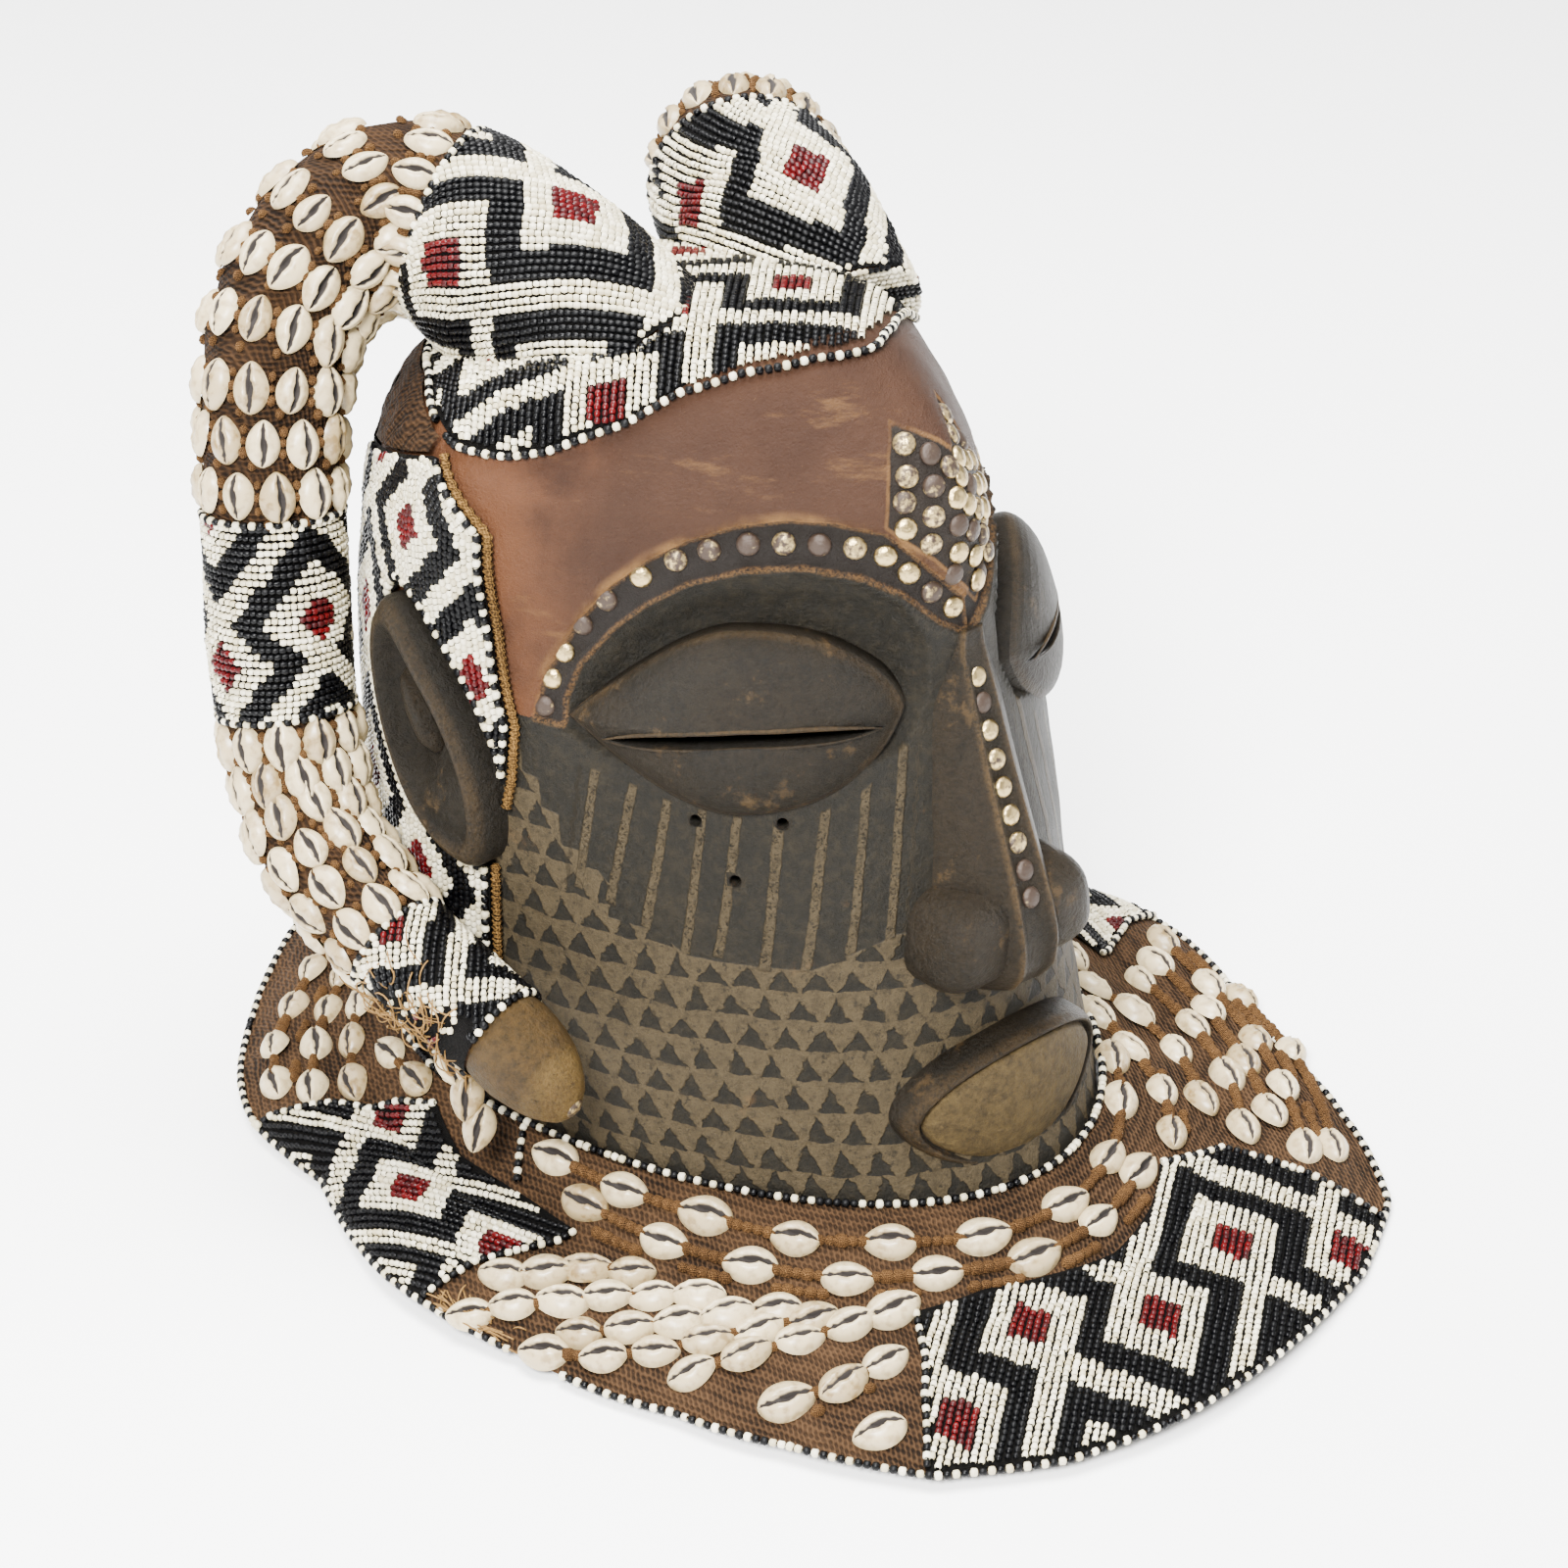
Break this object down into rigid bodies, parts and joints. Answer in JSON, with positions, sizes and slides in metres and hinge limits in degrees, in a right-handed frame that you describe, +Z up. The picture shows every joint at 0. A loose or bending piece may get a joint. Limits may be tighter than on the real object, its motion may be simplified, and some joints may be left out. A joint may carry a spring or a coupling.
{
  "type": "beaded helmet mask",
  "caption": "Carved wooden helmet mask with beaded cap and side panels, two stuffed cowrie-sewn trunks and a flared bead and cowrie collar.",
  "frame": {"origin": "centre of the footprint box, on the surface the mask stands on", "axes": "+Z up, the face looks along -Y, +X is the wearer's left"},
  "size_m": [0.4256, 0.53, 0.4246],
  "materials": {
    "carved_wood": "carved, darkened, painted and worn",
    "bare_wood": "plain, rubbed",
    "bead_sheet": "rows of small opaque glass beads",
    "cowrie_cloth": "raffia cloth sewn with cowrie shells",
    "raffia_cloth": "plain woven raffia"
  },
  "bodies": {
    "root": {"wooden_helmet": "carved_wood", "crown_cap": "bead_sheet", "back_cloth": "raffia_cloth", "cloth_collar": "cowrie_cloth", "front_collar_panel": "bead_sheet", "back_collar_panel": "bead_sheet", "right_trunk": "cowrie_cloth", "right_trunk_base_sleeve": "bead_sheet", "right_trunk_middle_band": "bead_sheet", "right_trunk_tip_sleeve": "bead_sheet", "right_trunk_wooden_tip": "bare_wood", "right_side_panel": "bead_sheet", "right_collar_panel": "bead_sheet", "left_trunk": "cowrie_cloth", "left_trunk_base_sleeve": "bead_sheet", "left_trunk_middle_band": "bead_sheet", "left_trunk_tip_sleeve": "bead_sheet", "left_trunk_wooden_tip": "bare_wood", "left_side_panel": "bead_sheet", "left_collar_panel": "bead_sheet"}
  },
  "joints": []
}
